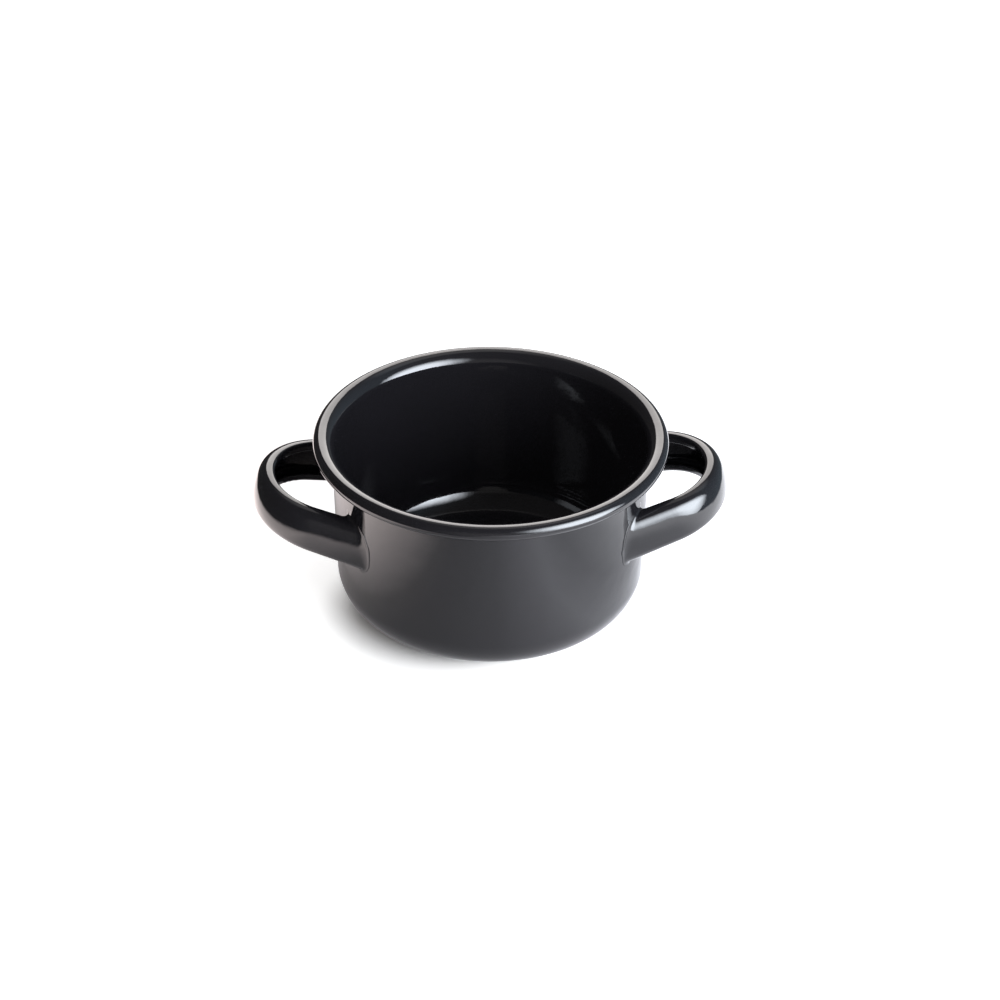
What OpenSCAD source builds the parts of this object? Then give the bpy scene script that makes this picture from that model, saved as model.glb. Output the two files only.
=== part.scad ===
// Enamelled steel stewpan: a drawn shell with a rolled rim, and two pressed channel handles
// that are welded to its wall and enamelled with it.

/* [Shell] */
// Diameter over the rolled rim
rim_d = 152; // [140:1:180]
// Height from the table to the top of the rim
pan_h = 80.2; // [74:0.2:110]
// How far the wall leans in towards the base, in degrees
wall_lean = 0.9; // [0:0.1:2]
// Thickness of the steel with its enamel on both sides
sheet_t = 1.2; // [0.8:0.1:1.5]
// Outside radius of the bend between the wall and the base
corner_r = 16.5; // [10:0.5:20]
// Width of the flat ring that the pan stands on
foot_ring_w = 4.5; // [2:0.5:12]
// How far the middle of the base stands up off the table
disc_rise = 0.9; // [0.4:0.1:2]
// Radius of the two bends round the raised middle
disc_edge_r = 2.5; // [1.5:0.1:3]

/* [Rim] */
// Outside diameter of the rolled bead
bead_d = 6.3; // [5:0.1:7]
// Radius of the inside face where the wall rolls out over the top, which a lid rests on
roll_r = 6; // [5:0.1:8]
// Gap between the cut edge of the bead and the sheet that rolls over it
curl_gap = 0.4; // [0.2:0.05:0.8]

/* [Handles] */
// Height of the channel section where it meets the wall
grip_foot_h = 21.1; // [17:0.1:24]
// Height of the channel section at the end of the loop
grip_end_h = 18.7; // [16:0.1:24]
// Depth of the channel, from its open side to its crown
grip_depth = 7.6; // [7.4:0.1:12]
// Thickness of the handle's steel with its enamel
grip_t = 1.2; // [0.8:0.1:1.6]
// How far each lip turns back down the open side
grip_lip = 4; // [3:0.1:6]
// Outside radius of the bend between a lip and the channel
grip_lip_r = 1.8; // [1.7:0.1:2]
// Outside radius of the bends between the channel's top or bottom and its crown
grip_edge_r = 5.3; // [4:0.1:5.4]
// Room for fingers between the wall and the end of the loop
finger_room = 26.7; // [22:0.2:40]
// Radius of the loop's open side across its end
loop_end_r = 29; // [26:1:60]
// How far that end curve runs to each side, in degrees
loop_end_angle = 20; // [8:1:24]
// Radius of the loop's open side at its two corners
loop_corner_r = 25; // [20:1:26]
// How far each arm splays out towards the pan, in degrees
arm_splay = 16.5; // [5:0.1:25]
// How far the loop rises away from the pan, in degrees
loop_tilt = 13.6; // [0:0.1:18]
// How far the middle of the section lies below the top of the rim, at the wall
loop_drop = 31.4; // [28:0.1:36]
// Clearance between a handle's foot and the wall it is welded to
foot_gap = 0.05; // [0.03:0.01:0.2]

/* [Hidden] */
enamel = "#24282b";
// Overlap between neighbouring runs of one sheet
lap = 0.02;
// Steps in the bends of a handle's section, and stations along its loop
lip_points = 3;
edge_points = 5;
crown_points = 2;
end_stops = 4;
corner_stops = 9;

bead_r = bead_d / 2;
bead_axis_r = rim_d / 2 - bead_r;
bead_mid_r = bead_r - sheet_t / 2;
// How far the bead turns down from the top of the rim before its edge meets the gap
curl_room = roll_r - sheet_t - curl_gap;
curl_turn = 270 + asin((curl_room * curl_room - bead_r * bead_r - pow(roll_r - bead_r, 2))
    / (2 * bead_r * (roll_r - bead_r)));

// Middle line of the shell's sheet, from the rim down to the base
roll_mid_r = roll_r - sheet_t / 2;
corner_mid_r = corner_r - sheet_t / 2;
wall_mid_top = bead_axis_r - roll_mid_r * cos(wall_lean);
wall_top_z = pan_h - sheet_t / 2 - roll_mid_r * (1 - sin(wall_lean));
wall_run = (wall_top_z - sheet_t / 2 - corner_mid_r * (1 - sin(wall_lean))) / cos(wall_lean);
foot_ring_r = wall_mid_top - wall_run * sin(wall_lean) - corner_mid_r * cos(wall_lean);
disc_turn = acos(1 - disc_rise / (2 * disc_edge_r));
disc_r = foot_ring_r - foot_ring_w - 2 * disc_edge_r * sin(disc_turn);

// Each step of a sheet is [straight run, bend radius, turn], all on its middle line
shell_steps = [
    [disc_r, disc_edge_r, -disc_turn],
    [0, disc_edge_r, disc_turn],
    [foot_ring_w, corner_mid_r, 90 - wall_lean],
    [wall_run, roll_mid_r, wall_lean - 90],
    [0, bead_mid_r, -curl_turn]];

// One bend of a sheet that comes in along +X, with a little overlap at both ends
module bend(radius, turn, t) {
    side = sign(turn);
    over = lap / radius * 180 / PI;
    sweep = abs(turn) + 2 * over;
    parts = ceil(sweep / 45);
    reach = 2 * (radius + t);
    translate([0, side * radius])
        intersection() {
            difference() {
                circle(radius + t / 2);
                circle(radius - t / 2);
            }
            polygon(concat([[0, 0]],
                [for (k = [0:parts]) let (a = k * sweep / parts - over)
                    reach * [sin(a), -side * cos(a)]]));
        }
}

// A bent sheet, drawn from its list of steps
module strip(steps, t, i = 0) {
    if (i < len(steps)) {
        run = steps[i][0];
        radius = steps[i][1];
        turn = steps[i][2];
        back = i == 0 ? 0 : lap;
        if (run > 0) translate([-back, -t / 2]) square([run + back + lap, t]);
        translate([run, sign(turn) * radius])
            rotate(turn)
                translate([0, -sign(turn) * radius])
                    strip(steps, t, i + 1);
        translate([run, 0]) bend(radius, turn, t);
    }
}

module pan_body() {
    color(enamel)
        rotate_extrude($fn = 240)
            translate([0, disc_rise + sheet_t / 2])
                strip(shell_steps, sheet_t, $fn = 120);
}

// Height of the middle of a handle at the wall, and the wall's outside radius there
loop_z = pan_h - loop_drop;
wall_r = wall_mid_top + sheet_t / 2 / cos(wall_lean) - (wall_top_z - loop_z) * tan(wall_lean);
loop_reach = wall_r + finger_room;

// Points along an arc of n steps, past its first point
function arc(centre, r, a0, a1, n) =
    [for (k = [1:n]) let (a = a0 + (a1 - a0) * k / n) centre + r * [cos(a), sin(a)]];
function reversed(list) = [for (k = [len(list) - 1:-1:0]) list[k]];

// One face of the channel's sheet, from the edge of the top lip to the edge of the bottom lip:
// u runs out from the open side and v runs up, on a section of half height h
function skin(h, inset) = let (
        bulge = grip_depth - grip_lip_r - grip_edge_r,
        side = h - grip_edge_r,
        gap = (bulge * bulge + side * side) / (2 * bulge),
        crown_r = gap + grip_edge_r,
        a = asin(side / gap),
        top = concat(
            [[inset, h - grip_lip + grip_t / 2], [inset, h - grip_lip_r]],
            arc([grip_lip_r, h - grip_lip_r], grip_lip_r - inset, 180, 90, lip_points),
            arc([grip_lip_r, side], grip_edge_r - inset, 90, a, edge_points),
            arc([grip_depth - crown_r, 0], crown_r - inset, a, 0, crown_points)))
    concat(top, [for (k = [len(top) - 2:-1:0]) [top[k][0], -top[k][1]]]);
// The rounded edge of a lip, from one face of the sheet to the other
function lip_edge(h, side) = [for (a = [45, 90, 135])
    grip_t / 2 * [1 - side * cos(a), side * sin(a)] - [0, side * (h - grip_lip + grip_t / 2)]];
function section(h) =
    concat(skin(h, 0), lip_edge(h, 1), reversed(skin(h, grip_t)), lip_edge(h, -1));

// The open side of half a loop in plan, from its end to its arm: [x, y, facing direction]
arm_angle = 90 - arm_splay;
end_centre = loop_reach - loop_end_r;
corner_centre = [end_centre, 0]
    + (loop_end_r - loop_corner_r) * [cos(loop_end_angle), sin(loop_end_angle)];
function stop(centre, r, a) = concat(centre + r * [cos(a), sin(a)], a);
half_loop = concat(
    [for (k = [0:end_stops - 1])
        stop([end_centre, 0], loop_end_r, loop_end_angle * k / end_stops)],
    [for (k = [0:corner_stops])
        stop(corner_centre, loop_corner_r,
            loop_end_angle + (arm_angle - loop_end_angle) * k / corner_stops)]);
stops = concat(
    [for (k = [len(half_loop) - 1:-1:1]) let (s = half_loop[k]) [s[0], -s[1], -s[2]]],
    half_loop);

// Half height of the section at distance x, and a point of it in space
function half_h(x) = grip_foot_h / 2
    + (grip_end_h - grip_foot_h) / 2 * max(0, min(1, (x - wall_r) / finger_room));
function place(s, q) = let (x = s[0] + q[0] * cos(s[2]))
    [x - q[1] * sin(loop_tilt), s[1] + q[0] * sin(s[2]),
        loop_z + (x - wall_r) * tan(loop_tilt) + q[1] * cos(loop_tilt)];
// Where a line of the arm, run on along d, reaches the leaning wall less the clearance
function seat(p, d) = let (
        slope = d[2] * tan(wall_lean),
        near = wall_r + foot_gap + (p[2] - loop_z) * tan(wall_lean),
        a = 1 - slope * slope,
        b = p[0] * d[0] + p[1] * d[1] - near * slope,
        c = p[0] * p[0] + p[1] * p[1] - near * near)
    p - (b + sqrt(b * b - a * c)) / a * d;
function foot(s) =
    [for (q = section(grip_foot_h / 2)) seat(place(s, q),
        [-cos(arm_splay), sign(s[1]) * sin(arm_splay), -cos(arm_splay) * tan(loop_tilt)])];

// Two triangles for the four corners of a patch, in turn
function patch(a, b, c, d) = [[a, b, c], [a, c, d]];
// The triangles that close one end of a channel of n points a ring, edge_n of them on each lip's edge
function end_cap(first, n, edge_n) = let (
        m = n / 2 - edge_n,
        inner = n - edge_n - 1)
    concat(
        [for (k = [0:m - 2])
            each patch(first + k, first + k + 1, first + inner - k - 1, first + inner - k)],
        [for (k = [0:edge_n - 1]) [first + m - 1, first + m + k, first + m + k + 1]],
        [for (k = [1:edge_n]) [first + inner, first + inner + k, first + (inner + k + 1) % n]]);

module handle() {
    rings = concat([foot(stops[0])],
        [for (s = stops) [for (q = section(half_h(s[0]))) place(s, q)]],
        [foot(stops[len(stops) - 1])]);
    n = len(rings[0]);
    last = len(rings) - 1;
    edge_n = len(lip_edge(0, 1));
    polyhedron(
        points = [for (r = rings) each r],
        faces = concat(
            end_cap(0, n, edge_n),
            [for (i = [0:last - 1]) for (k = [0:n - 1]) let (m = (k + 1) % n)
                each patch(i * n + k, (i + 1) * n + k, (i + 1) * n + m, i * n + m)],
            [for (f = end_cap(last * n, n, edge_n)) reversed(f)]),
        convexity = 6);
}

module handle_right() {
    color(enamel) handle();
}

module handle_left() {
    color(enamel) rotate([0, 0, 180]) handle();
}

pan_body();
handle_left();
handle_right();
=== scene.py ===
"""Looks of the enamelled stewpan: glossy near-black enamel over a drawn shell and two welded handles."""

from math import acos, asin, cos, exp, pi, radians, sin, sqrt, tan

import bpy
from mathutils import Matrix, Quaternion, Vector, noise


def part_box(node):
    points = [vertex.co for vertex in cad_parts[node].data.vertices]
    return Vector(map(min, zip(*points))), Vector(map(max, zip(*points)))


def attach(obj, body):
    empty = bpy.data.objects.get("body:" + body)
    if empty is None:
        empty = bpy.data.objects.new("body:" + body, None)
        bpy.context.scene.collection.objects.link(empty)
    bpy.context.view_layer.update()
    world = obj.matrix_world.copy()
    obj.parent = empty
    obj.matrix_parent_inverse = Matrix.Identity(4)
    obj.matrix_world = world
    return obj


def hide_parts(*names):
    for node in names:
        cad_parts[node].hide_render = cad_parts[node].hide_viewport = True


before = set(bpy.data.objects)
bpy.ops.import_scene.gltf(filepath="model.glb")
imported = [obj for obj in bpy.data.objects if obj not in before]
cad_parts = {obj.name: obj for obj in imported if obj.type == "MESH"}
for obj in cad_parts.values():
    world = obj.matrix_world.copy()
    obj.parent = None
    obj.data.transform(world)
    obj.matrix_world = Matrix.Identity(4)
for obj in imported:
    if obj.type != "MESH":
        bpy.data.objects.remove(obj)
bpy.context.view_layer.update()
MM = 0.001

# The pan, in millimetres, with its overall sizes from the frame
LOW, HIGH = (Vector(corner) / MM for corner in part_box("pan_body"))
RIM_R = min(HIGH.x, HIGH.y, -LOW.x, -LOW.y)
PAN_H = HIGH.z
WALL_LEAN = radians(0.9)
SHEET_T = 1.2
CORNER_R = 16.5
FOOT_RING_W = 4.5
DISC_RISE = 0.9
DISC_EDGE_R = 2.5
BEAD_R = 3.15
ROLL_R = 6.0
CURL_GAP = 0.4
PAN_SIDES = 288
SHEET_EDGE_CUTS = 4

# The handles, in millimetres
GRIP_FOOT_H = 21.1
GRIP_END_H = 18.7
GRIP_DEPTH = 7.6
GRIP_T = 1.2
GRIP_LIP = 4.0
GRIP_LIP_R = 1.8
GRIP_EDGE_R = 5.3
FINGER_ROOM = 26.7
LOOP_END_R = 29.0
LOOP_END_ANGLE = radians(20)
LOOP_CORNER_R = 25.0
ARM_SPLAY = radians(16.5)
LOOP_TILT = radians(13.6)
LOOP_DROP = 31.4
# How many pieces the bends of a handle's section and the bends of half its loop are cut in
LIP_CUTS = 8
EDGE_CUTS = 12
CROWN_CUTS = 6
LIP_EDGE_CUTS = 6
END_CUTS = 10
CORNER_CUTS = 44

# The enamel where a handle meets the wall, in millimetres: its least reach, how much further it runs
# at the crown of the channel and in the corner above it, and the ridge along its edge
FILLET = 1.2
FILLET_CROWN = 2.0
FILLET_WEB = 2.6
RIDGE = 0.22
FILLET_CUTS = 14
ARM_CUTS = 14
# Middle and half width of each, as shares of the way from a foot's top lip to its bottom lip, with
# the notch below the crown and how much of the reach it takes away
CROWN_SPAN = (0.45, 0.16)
WEB_SPAN = (0.13, 0.08)
RIDGE_SPAN = (0.4, 0.2)
NOTCH_SPAN = (0.79, 0.02)
NOTCH_DEPTH = 0.8
# Middle and half width of the ridge, as shares of the way from the wall to the arm
RIDGE_CREST = (0.16, 0.09)
# How strongly the reach drifts and the web lumps along a foot, each with its turns per millimetre
DRIFT = 0.4
DRIFT_RATE = 0.35
LUMP = 1.5
LUMP_RATE = 1.3
# Places in the noise that each handle's enamel starts from, and the step from its near arm to its far arm
RIGHT_SEED = 3
LEFT_SEED = 40
ARM_SEED_STEP = 9
# Drips of enamel under the far arm of the left handle: place, reach and length
DRIPS = (((-88.6, 18.6, 43.6), 0.9, 0.9), ((-86.8, 20.9, 43.2), 0.7, 0.6), ((-84.2, 22.9, 42.6), 0.8, 0.35))
# How far above and below its place a drip draws the sheet, and its share above that place
DRIP_BAND = 3
DRIP_ABOVE = 0.5

# The enamel's darkest and lightest colour, and its least and most roughness
ENAMEL_DARK = (0.0095, 0.0093, 0.0113, 1)
ENAMEL_LIGHT = (0.0140, 0.0137, 0.0166, 1)
ENAMEL_ROUGH = (0.045, 0.09)
ENAMEL_IOR = 1.5
# Scale and detail of the colour drift, the orange peel and the waviness, with strength and depth of the
# last two's bumps
COLOUR_DRIFT = (22, 3)
PEEL = (420, 2)
PEEL_BUMP = (0.05, 0.0004)
WAVE = (85, 1)
WAVE_BUMP = (0.3, 0.0005)

# The camera that the photograph was taken with: metres, radians, and millimetres for its lens and sensor
CAMERA_PLACE = (-0.0524, -0.8329, 0.591)
CAMERA_PITCH = 0.579
CAMERA_YAW = 0.0678
CAMERA_ROLL = 0.011
CAMERA_LENS = 82.6
CAMERA_SENSOR = 36
CAMERA_RANGE = (0.05, 50)

WHITE = (1, 1, 1, 1)
# The floor, its paint, and how far the camera sees it as lit
FLOOR_R = 0.95
FLOOR_SIDES = 96
FLOOR_PAINT = (0.9, 0.9, 0.9, 1)
FLOOR_GLOW = 0.70
# The patch round the foot that the camera sees unlit, so that the shadow stays: its core and its edge
SHADE_CENTRE = (-0.0235, -0.016)
SHADE_CORE = 0.031
SHADE_EDGE = 0.056
# The white table top that the enamel mirrors, as a painted reflection: the floor glows for reflections alone
# in a disc with a soft edge, and an apron in front of it, whose sides each fade from the first place to the
# second
TOP_CENTRE = (0.015, 0.08)
TOP_R = 0.27
TOP_EDGE = 0.03
TOP_GLOW = 3.0
# Painted shade in reflections: the floor's paint as the enamel mirrors it, darker than its paint for the
# camera
MIRRORED_TOP_SHADE = (0.5, 0.5, 0.5, 1)
APRON_LEFT = (-0.08, -0.03)
APRON_RIGHT = (0.29, 0.26)
APRON_BACK = (0.02, -0.02)
# How the light on the table top runs from left to right, over this far: place from 0 to 1, and colour
TOP_REACH = 0.25
TOP_TONES = (
    (0.0, (1.0, 0.88, 0.86, 1)), (0.20, (1.0, 0.88, 0.86, 1)), (0.28, (0.45, 0.40, 0.40, 1)),
    (0.33, (0.11, 0.10, 0.10, 1)), (0.37, (0.07, 0.065, 0.07, 1)),
    (0.42, (0.08, 0.078, 0.083, 1)), (0.50, (0.145, 0.145, 0.155, 1)), (0.58, (0.32, 0.32, 0.35, 1)),
    (0.63, (0.46, 0.47, 0.51, 1)), (0.70, (0.28, 0.285, 0.31, 1)), (0.76, (0.40, 0.41, 0.44, 1)),
    (0.84, (0.74, 0.75, 0.80, 1)), (1.0, (0.93, 0.95, 1.0, 1)))

# The dim studio that the enamel mirrors, with its level everywhere. Each of the others rises between
# two values of a direction's X, Y or Z, to the level that comes third.
STUDIO_BASE = 0.07
STUDIO_RIGHT = (-0.1, 1.0, 0.27)
STUDIO_FRONT = (-0.75, -0.98, 0.3)
STUDIO_HIGH = (0.72, 0.88, 0.75)
HIGH_BEHIND = (0.04, 0.25, 1)
HIGH_MIDDLE = (-0.35, 0.05, 1)
# Its colours on the left and on the right, and where one goes over into the other
STUDIO_WARM = (1.0, 0.97, 0.96, 1)
STUDIO_BLUE = (0.74, 0.97, 1.14, 1)
BLUE_SIDE = (0.1, 0.8, 1)

# Middle line of the shell's sheet
bead_mid_r = BEAD_R - SHEET_T / 2
bead_axis_r = RIM_R - BEAD_R
roll_mid_r = ROLL_R - SHEET_T / 2
corner_mid_r = CORNER_R - SHEET_T / 2
curl_room = ROLL_R - SHEET_T - CURL_GAP
curl_turn = radians(270) + asin((curl_room ** 2 - BEAD_R ** 2 - (ROLL_R - BEAD_R) ** 2)
                                / (2 * BEAD_R * (ROLL_R - BEAD_R)))
wall_mid_top = bead_axis_r - roll_mid_r * cos(WALL_LEAN)
wall_top_z = PAN_H - SHEET_T / 2 - roll_mid_r * (1 - sin(WALL_LEAN))
wall_run = (wall_top_z - SHEET_T / 2 - corner_mid_r * (1 - sin(WALL_LEAN))) / cos(WALL_LEAN)
foot_ring_r = wall_mid_top - wall_run * sin(WALL_LEAN) - corner_mid_r * cos(WALL_LEAN)
disc_turn = acos(1 - DISC_RISE / (2 * DISC_EDGE_R))
disc_r = foot_ring_r - FOOT_RING_W - 2 * DISC_EDGE_R * sin(disc_turn)

# Height of the middle of a handle at the wall, the wall's outside radius there, and the loop's reach
loop_z = PAN_H - LOOP_DROP
wall_r = wall_mid_top + SHEET_T / 2 / cos(WALL_LEAN) - (wall_top_z - loop_z) * tan(WALL_LEAN)
loop_reach = wall_r + FINGER_ROOM

# Each step is [straight run, bend radius, turn], and how many pieces the run and the bend are cut in
SHELL_STEPS = [
    (disc_r, DISC_EDGE_R, -disc_turn, 12, 6),
    (0, DISC_EDGE_R, disc_turn, 0, 6),
    (FOOT_RING_W, corner_mid_r, radians(90) - WALL_LEAN, 2, 24),
    (wall_run, roll_mid_r, WALL_LEAN - radians(90), 16, 20),
    (0, bead_mid_r, -curl_turn, 0, 40)]


def middle_line(steps):
    """Points of a bent sheet's middle line with its direction there, as (r, z, angle)."""
    r, z, heading = 0.0, DISC_RISE + SHEET_T / 2, 0.0
    line = [(r, z, heading)]
    for run, radius, turn, run_cuts, bend_cuts in steps:
        for k in range(1, run_cuts + 1):
            line.append((r + run * cos(heading) * k / run_cuts,
                         z + run * sin(heading) * k / run_cuts, heading))
        r += run * cos(heading)
        z += run * sin(heading)
        side = 1 if turn > 0 else -1
        cr = r - side * radius * sin(heading)
        cz = z + side * radius * cos(heading)
        for k in range(1, bend_cuts + 1):
            a = heading + turn * k / bend_cuts
            line.append((cr + side * radius * sin(a), cz - side * radius * cos(a), a))
        heading += turn
        r, z = line[-1][0], line[-1][1]
    return line


def offset(line, distance):
    """The points of a middle line, moved sideways by a distance, to the left of its direction."""
    return [(r - distance * sin(a), z + distance * cos(a)) for r, z, a in line]


def sheet_end(point, half_t):
    """The rounded cut edge at the end of a sheet, from its right face to its left face."""
    r, z, a = point
    return [(r + half_t * cos(a + b), z + half_t * sin(a + b))
            for b in (pi * (k / SHEET_EDGE_CUTS - 0.5) for k in range(1, SHEET_EDGE_CUTS))]


def new_piece(name, verts, faces, material, node):
    """A smooth-shaded mesh object in metres, in the enamel slot, that stands for a node of the frame."""
    mesh = bpy.data.meshes.new(name)
    mesh.from_pydata([Vector(v) * MM for v in verts], [], faces)
    mesh.validate()
    mesh.update()
    for poly in mesh.polygons:
        poly.use_smooth = True
    piece = bpy.data.objects.new(name, mesh)
    bpy.context.collection.objects.link(piece)
    piece.data.materials.append(material)
    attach(piece, "root")
    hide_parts(node)


def pan_shell(material):
    """The drawn shell, turned round its axis from its section."""
    line = middle_line(SHELL_STEPS)
    under = offset(line, -SHEET_T / 2)
    over = offset(line, SHEET_T / 2)
    profile = under + sheet_end(line[-1], SHEET_T / 2) + over[::-1]
    verts = [(0, 0, profile[0][1])]
    for r, z in profile[1:-1]:
        for k in range(PAN_SIDES):
            a = 2 * pi * k / PAN_SIDES
            verts.append((r * cos(a), r * sin(a), z))
    verts.append((0, 0, profile[-1][1]))
    rings = len(profile) - 2
    last = 1 + (rings - 1) * PAN_SIDES
    faces = []
    for k in range(PAN_SIDES):
        m = (k + 1) % PAN_SIDES
        faces.append((0, 1 + m, 1 + k))
        faces.append((len(verts) - 1, last + k, last + m))
        for i in range(rings - 1):
            a = 1 + i * PAN_SIDES
            b = a + PAN_SIDES
            faces.append((a + k, a + m, b + m, b + k))
    new_piece("pan_shell", verts, faces, material, "pan_body")


def arc(cu, cv, r, a0, a1, cuts):
    """Points on an arc past its first one."""
    return [(cu + r * cos(a0 + (a1 - a0) * k / cuts), cv + r * sin(a0 + (a1 - a0) * k / cuts))
            for k in range(1, cuts + 1)]


def skin(half_h, inset):
    """One face of the channel's sheet, from the top lip's edge round to the bottom lip's edge."""
    bulge = GRIP_DEPTH - GRIP_LIP_R - GRIP_EDGE_R
    side = half_h - GRIP_EDGE_R
    gap = (bulge ** 2 + side ** 2) / (2 * bulge)
    crown_r = gap + GRIP_EDGE_R
    a = asin(side / gap)
    lip_end = half_h - GRIP_LIP + GRIP_T / 2
    top = [(inset, lip_end), (inset, (lip_end + half_h - GRIP_LIP_R) / 2), (inset, half_h - GRIP_LIP_R)]
    top += arc(GRIP_LIP_R, half_h - GRIP_LIP_R, GRIP_LIP_R - inset, pi, pi / 2, LIP_CUTS)
    top += arc(GRIP_LIP_R, side, GRIP_EDGE_R - inset, pi / 2, a, EDGE_CUTS)
    top += arc(GRIP_DEPTH - crown_r, 0, crown_r - inset, a, 0, CROWN_CUTS)
    return top + [(u, -v) for u, v in top[-2::-1]]


def lip_edge(half_h, side):
    """The rounded edge of a lip, from one face of the sheet to the other."""
    middle = half_h - GRIP_LIP + GRIP_T / 2
    return [(GRIP_T / 2 * (1 - side * cos(a)), side * (GRIP_T / 2 * sin(a) - middle))
            for a in (pi * k / LIP_EDGE_CUTS for k in range(1, LIP_EDGE_CUTS))]


def section(half_h):
    """The channel's whole section, outer face first."""
    return skin(half_h, 0) + lip_edge(half_h, 1) + skin(half_h, GRIP_T)[::-1] + lip_edge(half_h, -1)


def loop_stops():
    """The loop's open side in plan, from one arm to the other, as (x, y, facing direction)."""
    end_centre = loop_reach - LOOP_END_R
    cx = end_centre + (LOOP_END_R - LOOP_CORNER_R) * cos(LOOP_END_ANGLE)
    cy = (LOOP_END_R - LOOP_CORNER_R) * sin(LOOP_END_ANGLE)
    arm_angle = pi / 2 - ARM_SPLAY
    half = []
    for k in range(END_CUTS):
        a = LOOP_END_ANGLE * k / END_CUTS
        half.append((end_centre + LOOP_END_R * cos(a), LOOP_END_R * sin(a), a))
    for k in range(CORNER_CUTS + 1):
        a = LOOP_END_ANGLE + (arm_angle - LOOP_END_ANGLE) * k / CORNER_CUTS
        half.append((cx + LOOP_CORNER_R * cos(a), cy + LOOP_CORNER_R * sin(a), a))
    return [(x, -y, -a) for x, y, a in half[:0:-1]] + half


def half_height(x):
    """Half the section's height at distance x from the pan's axis."""
    share = max(0, min(1, (x - wall_r) / FINGER_ROOM))
    return (GRIP_FOOT_H + (GRIP_END_H - GRIP_FOOT_H) * share) / 2


def place(stop, q):
    """A point of the section in space."""
    x = stop[0] + q[0] * cos(stop[2])
    return Vector((x - q[1] * sin(LOOP_TILT), stop[1] + q[0] * sin(stop[2]),
                   loop_z + (x - wall_r) * tan(LOOP_TILT) + q[1] * cos(LOOP_TILT)))


def run_to_wall(p, d):
    """How far a line of the arm runs from p along d to the leaning wall."""
    slope = d.z * tan(WALL_LEAN)
    near = wall_r + (p.z - loop_z) * tan(WALL_LEAN)
    a = 1 - slope ** 2
    b = p.x * d.x + p.y * d.y - near * slope
    c = p.x ** 2 + p.y ** 2 - near ** 2
    return -(b + sqrt(b ** 2 - a * c)) / a


def wall_normal(p):
    """The outward direction of the wall at a point on it."""
    flat = Vector((p.x, p.y, 0)).normalized()
    return (flat * cos(WALL_LEAN) - Vector((0, 0, sin(WALL_LEAN)))).normalized()


def hump(value, middle, width):
    """A smooth bump of height 1 round a middle value."""
    return exp(-((value - middle) / width) ** 2)


def fillet_size(share, foot, seed):
    """How far the enamel runs out from a foot, at a share of the way from its top lip to its bottom lip."""
    drift = noise.noise(foot * DRIFT_RATE + Vector((seed, 0, 0)))
    lump = noise.noise(foot * LUMP_RATE + Vector((0, seed, 0)))
    size = FILLET * (1 + DRIFT * drift) + FILLET_CROWN * hump(share, *CROWN_SPAN)
    size += FILLET_WEB * hump(share, *WEB_SPAN) * (1 + LUMP * lump)
    return size * (1 - NOTCH_DEPTH * hump(share, *NOTCH_SPAN))


def fillet_row(foot, away, arm, normal, size, ridge):
    """Points of the enamel's curve from the wall to the arm, with a ridge close to the wall."""
    row = []
    for k in range(FILLET_CUTS + 1):
        t = k / FILLET_CUTS
        point = (foot + away * size) * (1 - t) ** 2 + foot * 2 * t * (1 - t) + (foot + arm * size) * t ** 2
        row.append(point + normal * ridge * hump(t, *RIDGE_CREST))
    return row


def arm_feet(stop):
    """Where each line of an arm's section meets the wall."""
    side = 1 if stop[1] > 0 else -1
    d = Vector((-cos(ARM_SPLAY), side * sin(ARM_SPLAY), -cos(ARM_SPLAY) * tan(LOOP_TILT)))
    starts = [place(stop, q) for q in section(GRIP_FOOT_H / 2)]
    return [p + run_to_wall(p, d) * d for p in starts]


def arm_rings(stop, seed):
    """Rings from the wall out to the first stop of an arm, with the enamel at its foot."""
    half_h = half_height(stop[0])
    target = [place(stop, q) for q in section(half_h)]
    feet = arm_feet(stop)
    outer_count = len(skin(half_h, 0))
    centre = sum(feet[:outer_count], Vector()) / outer_count
    rows = []
    for i, foot in enumerate(feet):
        normal = wall_normal(foot)
        arm = (target[i] - foot).normalized()
        if i >= outer_count:
            rows.append(fillet_row(foot, Vector(), arm, normal, FILLET, 0))
            continue
        along = feet[min(outer_count - 1, i + 1)] - feet[max(0, i - 1)]
        away = along.cross(normal).normalized()
        if away.dot(foot - centre) < 0:
            away = -away
        share = i / (outer_count - 1)
        size = fillet_size(share, foot, seed)
        rows.append(fillet_row(foot, away, arm, normal, size, RIDGE * hump(share, *RIDGE_SPAN)))
    rings = [list(ring) for ring in zip(*rows)]
    crest = rings[-1]
    for k in range(1, ARM_CUTS):
        rings.append([a.lerp(b, k / ARM_CUTS) for a, b in zip(crest, target)])
    return rings


def drip(verts, place_at, reach, length):
    """Draws the underside of a channel out to a drip."""
    for v in verts:
        flat = (v.x - place_at[0]) ** 2 + (v.y - place_at[1]) ** 2
        if abs(v.z - place_at[2]) < DRIP_BAND:
            v.z -= length * exp(-flat / reach ** 2) * (1 if v.z < place_at[2] else DRIP_ABOVE)


def handle(name, node, turn, material, seed, drips):
    """One pressed channel handle, swept round its loop and run onto the wall at both feet."""
    stops = loop_stops()
    rings = arm_rings(stops[0], seed)
    rings += [[place(s, q) for q in section(half_height(s[0]))] for s in stops]
    rings += arm_rings(stops[-1], seed + ARM_SEED_STEP)[::-1]
    spin = Matrix.Rotation(turn, 3, "Z")
    n = len(rings[0])
    verts = [spin @ p for ring in rings for p in ring]
    for mark in drips:
        drip(verts, *mark)
    faces = []
    for i in range(len(rings) - 1):
        for k in range(n):
            m = (k + 1) % n
            faces.append((i * n + k, i * n + m, (i + 1) * n + m, (i + 1) * n + k))
    faces.append(tuple(range(n))[::-1])
    faces.append(tuple((len(rings) - 1) * n + k for k in range(n)))
    new_piece(name, verts, faces, material, node)


def feed(links, slot, value):
    """Gives a node's input a socket to follow, or a number or a colour."""
    if isinstance(value, bpy.types.NodeSocket):
        links.new(value, slot)
    else:
        slot.default_value = value


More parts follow.
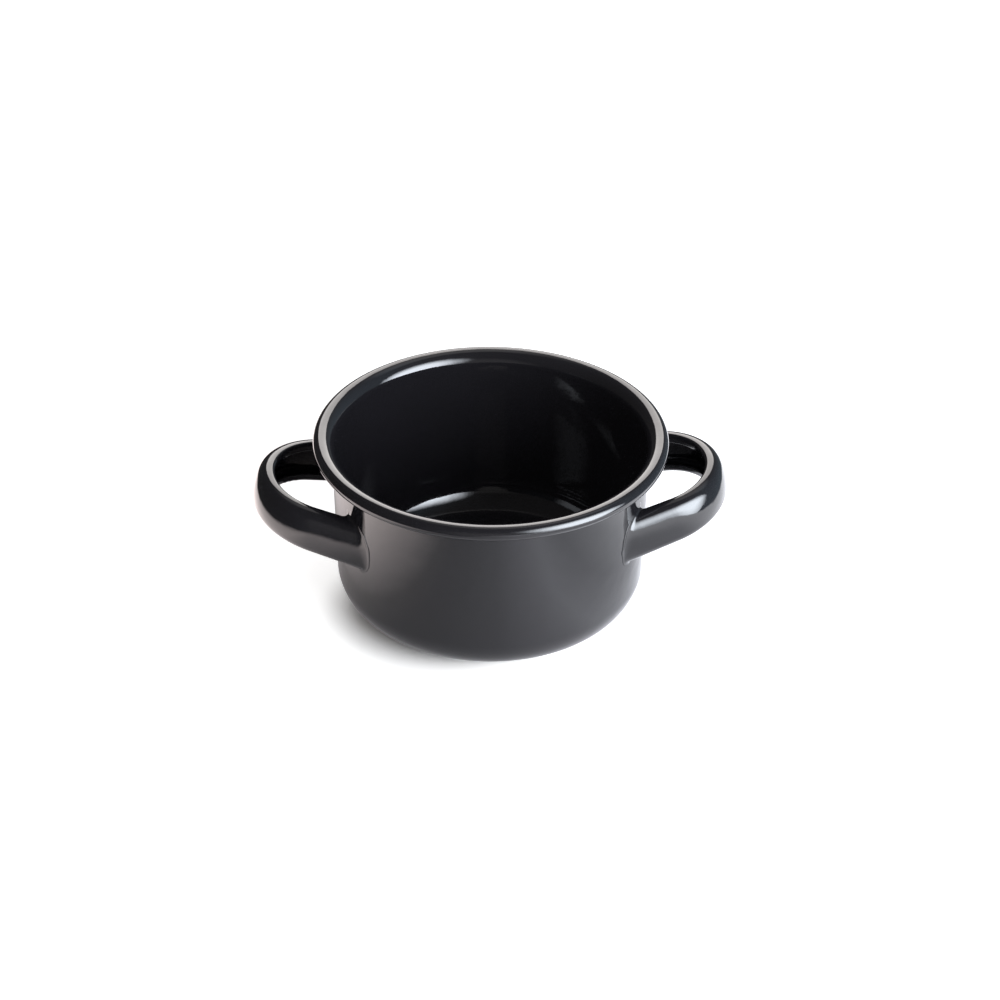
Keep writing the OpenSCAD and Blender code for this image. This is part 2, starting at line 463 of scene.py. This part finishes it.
def join(nodes, links, operation, *values):
    """A maths node, whose inputs are sockets or numbers."""
    node = nodes.new("ShaderNodeMath")
    node.operation = operation
    for slot, value in zip(node.inputs, values):
        feed(links, slot, value)
    return node.outputs["Value"]


def ease(nodes, links, value, low, high, level=1):
    """A smooth rise from 0 to a level while a value runs from low to high."""
    node = nodes.new("ShaderNodeMapRange")
    node.interpolation_type = "SMOOTHSTEP"
    feed(links, node.inputs["Value"], value)
    feed(links, node.inputs["From Min"], low)
    feed(links, node.inputs["From Max"], high)
    feed(links, node.inputs["To Max"], level)
    return node.outputs["Result"]


def blend(nodes, links, share, first, second):
    """A colour that goes from the first to the second while a share runs from 0 to 1."""
    node = nodes.new("ShaderNodeMixRGB")
    feed(links, node.inputs["Fac"], share)
    feed(links, node.inputs["Color1"], first)
    feed(links, node.inputs["Color2"], second)
    return node.outputs["Color"]


def distance(nodes, links, point, middle):
    """How far a point lies from a middle in the plane."""
    node = nodes.new("ShaderNodeVectorMath")
    node.operation = "DISTANCE"
    feed(links, node.inputs[0], point)
    feed(links, node.inputs[1], (*middle, 0))
    return node.outputs["Value"]


def grain(nodes, links, point, scale, detail):
    """Noise at a point."""
    node = nodes.new("ShaderNodeTexNoise")
    feed(links, node.inputs["Vector"], point)
    feed(links, node.inputs["Scale"], scale)
    feed(links, node.inputs["Detail"], detail)
    return node.outputs["Fac"]


def relief(nodes, links, height, strength, depth):
    """A bump node for a height, with its depth in metres."""
    node = nodes.new("ShaderNodeBump")
    feed(links, node.inputs["Height"], height)
    feed(links, node.inputs["Strength"], strength)
    feed(links, node.inputs["Distance"], depth)
    return node


def enamel_material():
    """Near-black glass enamel with a faint colour drift, orange peel and waviness."""
    material = bpy.data.materials.new("enamel")
    material.use_nodes = True
    nodes = material.node_tree.nodes
    links = material.node_tree.links
    shader = nodes["Principled BSDF"]
    shader.inputs["IOR"].default_value = ENAMEL_IOR
    point = nodes.new("ShaderNodeTexCoord").outputs["Object"]
    drift = grain(nodes, links, point, *COLOUR_DRIFT)
    ramp = nodes.new("ShaderNodeValToRGB")
    ramp.color_ramp.elements[0].color = ENAMEL_DARK
    ramp.color_ramp.elements[1].color = ENAMEL_LIGHT
    links.new(drift, ramp.inputs["Fac"])
    links.new(ramp.outputs["Color"], shader.inputs["Base Color"])
    rough = nodes.new("ShaderNodeMapRange")
    rough.inputs["To Min"].default_value = ENAMEL_ROUGH[0]
    rough.inputs["To Max"].default_value = ENAMEL_ROUGH[1]
    links.new(drift, rough.inputs["Value"])
    links.new(rough.outputs["Result"], shader.inputs["Roughness"])
    peel = relief(nodes, links, grain(nodes, links, point, *PEEL), *PEEL_BUMP)
    wave = relief(nodes, links, grain(nodes, links, point, *WAVE), *WAVE_BUMP)
    links.new(peel.outputs["Normal"], wave.inputs["Normal"])
    links.new(wave.outputs["Normal"], shader.inputs["Normal"])
    return material


def set_camera():
    """The photograph's camera."""
    data = bpy.data.cameras.new("camera")
    data.lens = CAMERA_LENS
    data.sensor_width = CAMERA_SENSOR
    data.clip_start, data.clip_end = CAMERA_RANGE
    camera = bpy.data.objects.new("camera", data)
    bpy.context.collection.objects.link(camera)
    camera.matrix_world = (Matrix.Translation(CAMERA_PLACE)
                           @ Matrix.Rotation(-CAMERA_YAW, 4, "Z")
                           @ Matrix.Rotation(pi / 2 - CAMERA_PITCH, 4, "X")
                           @ Matrix.Rotation(CAMERA_ROLL, 4, "Z"))
    bpy.context.scene.camera = camera


def soft_edge(data, middle, core, edge):
    """Fades a lamp out between two distances from its middle, all as shares of its width."""
    data.use_nodes = True
    nodes = data.node_tree.nodes
    links = data.node_tree.links
    point = nodes.new("ShaderNodeNewGeometry").outputs["Parametric"]
    fade = ease(nodes, links, distance(nodes, links, point, middle), edge, core)
    links.new(fade, nodes["Emission"].inputs["Strength"])


def softbox(name, place_at, aim, size, colour, shine=0, fill=0, fade=(), roll=0):
    """A lamp as one light that shows in reflections and one that lights surfaces."""
    for part, level in (("shine", shine), ("fill", fill)):
        if not level:
            continue
        data = bpy.data.lights.new(name + "_" + part, "AREA")
        data.shape = "RECTANGLE"
        data.size, data.size_y = size
        data.energy = level * pi * size[0] * size[1]
        data.color = colour
        if part == "shine":
            soft_edge(data, *fade)
        lamp = bpy.data.objects.new(name + "_" + part, data)
        bpy.context.collection.objects.link(lamp)
        lamp.location = place_at
        turn = (Vector(aim) - Vector(place_at)).to_track_quat("-Z", "Y")
        lamp.rotation_euler = (turn @ Quaternion((0, 0, 1), roll)).to_euler()
        lamp.visible_camera = False
        lamp.visible_diffuse = part == "fill"
        lamp.visible_glossy = part == "shine"


def set_lamps():
    """The lamps, each with its level in reflections and its level on surfaces."""
    softbox("back", (0.13, 1.60, 1.02), aim=(0.13, 0, 0.30), size=(1.36, 1.45), colour=(1, 0.96, 0.94),
            shine=5.0, fill=2.2, fade=((0.5, 0.5), 0.42, 0.5))
    softbox("right_front", (0.66, -0.735, 0.43), aim=(0, 0, 0.07), size=(1.36, 1.80),
            colour=(0.94, 1.0, 1.08), shine=20.0, fade=((0.575, 0.38), 0.14, 0.54), roll=radians(28))
    softbox("right_low", (0.72, -0.76, 0.34), aim=(0, 0, 0.05), size=(0.9, 0.7), colour=(0.98, 1, 1.03),
            fill=9.0)
    softbox("overhead", (0, 0.2, 2.0), aim=(0, 0, 0), size=(2.4, 2.4), colour=(1, 0.98, 0.96), fill=0.65)
    softbox("left", (-1.1, -0.5, 0.9), aim=(0, 0, 0), size=(1.2, 1.2), colour=(1, 0.94, 0.90), fill=0.8)


def table_top(nodes, links, point, split):
    """How much of the mirrored table top is at a point: its disc, or the apron in front."""
    reach = distance(nodes, links, point, TOP_CENTRE)
    disc = ease(nodes, links, reach, TOP_R + TOP_EDGE, TOP_R - TOP_EDGE)
    left = ease(nodes, links, split.outputs["X"], *APRON_LEFT)
    right = ease(nodes, links, split.outputs["X"], *APRON_RIGHT)
    back = ease(nodes, links, split.outputs["Y"], *APRON_BACK)
    apron = join(nodes, links, "MULTIPLY", join(nodes, links, "MULTIPLY", left, right), back)
    return join(nodes, links, "MAXIMUM", disc, apron)


def table_tone(nodes, links, split):
    """The colour of the light painted on the mirrored table top, which changes from left to right."""
    across = nodes.new("ShaderNodeMapRange")
    across.inputs["From Min"].default_value = -TOP_REACH
    across.inputs["From Max"].default_value = TOP_REACH
    links.new(split.outputs["X"], across.inputs["Value"])
    ramp = nodes.new("ShaderNodeValToRGB")
    stops = ramp.color_ramp.elements
    stops[0].position, stops[0].color = TOP_TONES[0]
    stops[1].position, stops[1].color = TOP_TONES[-1]
    for at, tone in TOP_TONES[1:-1]:
        stops.new(at).color = tone
    links.new(across.outputs["Result"], ramp.inputs["Fac"])
    return ramp.outputs["Color"]


def floor_glow(nodes, links, point, path):
    """How much light the floor gives: the camera sees it lit away from the foot, the enamel as a lit top."""
    reach = distance(nodes, links, point, SHADE_CENTRE)
    lit = ease(nodes, links, reach, SHADE_CORE, SHADE_EDGE, FLOOR_GLOW)
    seen = join(nodes, links, "MULTIPLY", path.outputs["Is Camera Ray"], lit)
    mirrored = join(nodes, links, "MULTIPLY", path.outputs["Is Glossy Ray"], TOP_GLOW)
    return join(nodes, links, "ADD", mirrored, seen)


def floor_material():
    """White paint that keeps the pan's shadow, and mirrors in the enamel as the table top alone, with a
    painted glow and a darker paint that only reflections see.
    """
    material = bpy.data.materials.new("floor")
    material.use_nodes = True
    nodes = material.node_tree.nodes
    links = material.node_tree.links
    shader = nodes["Principled BSDF"]
    shader.inputs["Roughness"].default_value = 1
    shader.inputs["Specular IOR Level"].default_value = 0
    path = nodes.new("ShaderNodeLightPath")
    camera_ray = path.outputs["Is Camera Ray"]
    glossy_ray = path.outputs["Is Glossy Ray"]
    point = nodes.new("ShaderNodeTexCoord").outputs["Object"]
    split = nodes.new("ShaderNodeSeparateXYZ")
    links.new(point, split.inputs["Vector"])
    # The floor's paint, swapped for a darker painted shade where reflections see it
    links.new(blend(nodes, links, glossy_ray, FLOOR_PAINT, MIRRORED_TOP_SHADE), shader.inputs["Base Color"])
    tone = blend(nodes, links, camera_ray, table_tone(nodes, links, split), WHITE)
    links.new(tone, shader.inputs["Emission Color"])
    links.new(floor_glow(nodes, links, point, path), shader.inputs["Emission Strength"])
    outside = join(nodes, links, "SUBTRACT", 1, table_top(nodes, links, point, split))
    mix = nodes.new("ShaderNodeMixShader")
    links.new(join(nodes, links, "MULTIPLY", outside, glossy_ray), mix.inputs["Fac"])
    links.new(shader.outputs["BSDF"], mix.inputs[1])
    links.new(nodes.new("ShaderNodeBsdfTransparent").outputs["BSDF"], mix.inputs[2])
    links.new(mix.outputs["Shader"], nodes["Material Output"].inputs["Surface"])
    return material


def set_floor():
    """The floor disc that the pan stands on."""
    bpy.ops.mesh.primitive_circle_add(vertices=FLOOR_SIDES, radius=FLOOR_R, fill_type="NGON",
                                      location=(0, 0, 0))
    floor = bpy.context.object
    floor.name = "floor"
    floor.data.materials.append(floor_material())


def set_world():
    """White for the camera, and a dim studio for reflections: bluish on the right, pale overhead."""
    world = bpy.data.worlds.new("studio")
    bpy.context.scene.world = world
    world.use_nodes = True
    nodes = world.node_tree.nodes
    links = world.node_tree.links
    camera_ray = nodes.new("ShaderNodeLightPath").outputs["Is Camera Ray"]
    split = nodes.new("ShaderNodeSeparateXYZ")
    links.new(nodes.new("ShaderNodeTexCoord").outputs["Generated"], split.inputs["Vector"])
    x, y, z = split.outputs
    right = ease(nodes, links, x, *STUDIO_RIGHT)
    front = ease(nodes, links, y, *STUDIO_FRONT)
    high = ease(nodes, links, z, *STUDIO_HIGH)
    behind = ease(nodes, links, y, *HIGH_BEHIND)
    middle = ease(nodes, links, x, *HIGH_MIDDLE)
    top = join(nodes, links, "MULTIPLY", join(nodes, links, "MULTIPLY", high, behind), middle)
    level = join(nodes, links, "ADD", join(nodes, links, "ADD", right, top), front)
    level = join(nodes, links, "ADD", level, STUDIO_BASE)
    tint = blend(nodes, links, ease(nodes, links, x, *BLUE_SIDE), STUDIO_WARM, STUDIO_BLUE)
    scale = nodes.new("ShaderNodeVectorMath")
    scale.operation = "SCALE"
    links.new(tint, scale.inputs[0])
    links.new(level, scale.inputs["Scale"])
    colour = blend(nodes, links, camera_ray, scale.outputs["Vector"], WHITE)
    links.new(colour, nodes["Background"].inputs["Color"])


enamel = enamel_material()
pan_shell(enamel)
handle("handle_loop_right", "handle_right", 0, enamel, RIGHT_SEED, ())
handle("handle_loop_left", "handle_left", pi, enamel, LEFT_SEED, DRIPS)
set_camera()
set_floor()
set_world()
set_lamps()
bpy.context.scene.view_settings.view_transform = "Standard"
